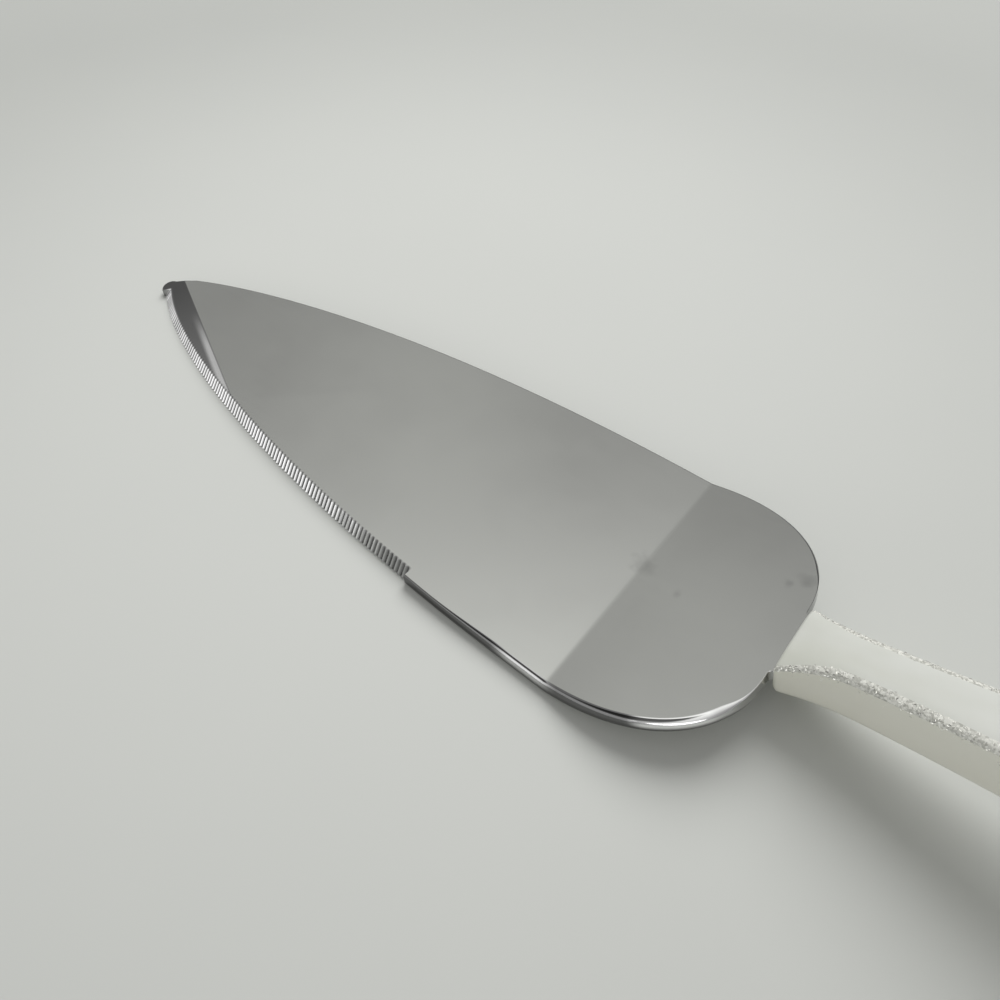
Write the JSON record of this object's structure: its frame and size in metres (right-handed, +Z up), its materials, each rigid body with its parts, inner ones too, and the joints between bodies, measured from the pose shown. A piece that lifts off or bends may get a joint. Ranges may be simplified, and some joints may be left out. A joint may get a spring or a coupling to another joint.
{
  "type": "cake server",
  "caption": "Cake server with a flat leaf-shaped steel blade, a finely serrated edge, a cranked heel and a slim pearl handle edged with glitter strips.",
  "frame": {"origin": "on the table, under the middle of the whole server, with the flat front of the blade lying on the table", "axes": "+X from the tip to the end of the handle, +Y away from the serrated edge, +Z up"},
  "size_m": [0.283, 0.0546, 0.0354],
  "materials": {
    "polished_steel": "satin-polished stainless sheet",
    "pearl_shell": "glossy cream pearl",
    "pearl_cover": "glossy white pearl",
    "glitter": "clear resin full of coarse silver glitter",
    "bonding_resin": "cured bonding resin"
  },
  "bodies": {
    "root": {"blade": "polished_steel", "tang_bond": "bonding_resin", "handle_base": "pearl_shell", "handle_cover": "pearl_cover", "near_glitter_strip": "glitter", "far_glitter_strip": "glitter"}
  },
  "joints": []
}
